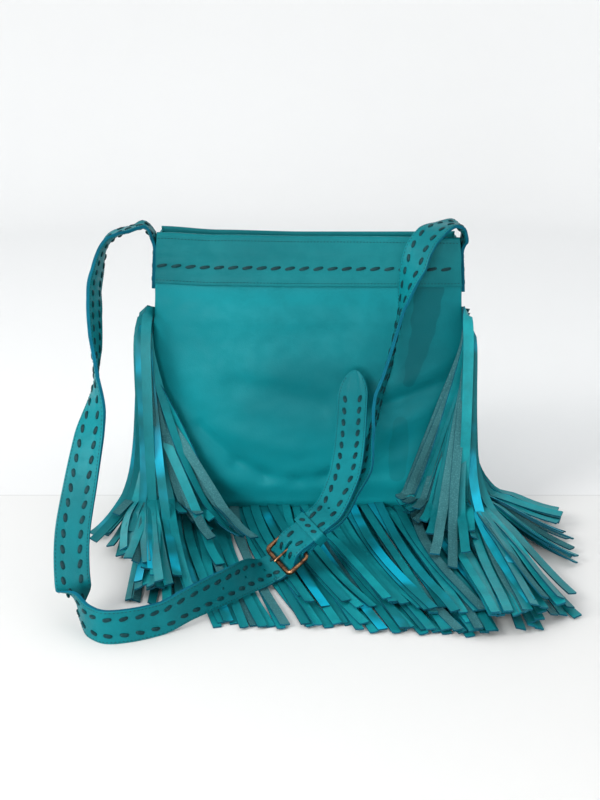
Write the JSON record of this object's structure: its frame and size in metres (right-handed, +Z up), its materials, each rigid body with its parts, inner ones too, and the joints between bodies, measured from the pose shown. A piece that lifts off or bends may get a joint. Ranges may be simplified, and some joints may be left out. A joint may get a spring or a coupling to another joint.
{
  "type": "fringed leather shoulder purse",
  "caption": "Soft leather shoulder bag that stands on its base, with a banded rim, a long fringe round the front seam and a buckled strap.",
  "frame": {"origin": "middle of the bag's base, on the surface that it stands on", "axes": "+Z up from the base to the rim, -Y out of the front, +X to the right seen from the front"},
  "size_m": [0.4466, 0.3152, 0.2919],
  "materials": {
    "body_leather": "smooth dyed leather with cloudy colour",
    "band_leather": "smooth dyed leather",
    "fringe_leather": "dyed leather, smooth on one side and rough on the other",
    "strap_leather": "smooth dyed leather with cut edges",
    "buckle_metal": "dark antique bronze"
  },
  "bodies": {
    "root": {"gusset": "body_leather", "front_panel": "body_leather", "back_panel": "body_leather", "front_band": "band_leather", "back_band": "band_leather", "fringe": "fringe_leather", "strap_long": "strap_leather", "strap_short": "strap_leather", "keeper": "strap_leather", "buckle_frame": "buckle_metal", "buckle_prong": "buckle_metal"}
  },
  "joints": []
}
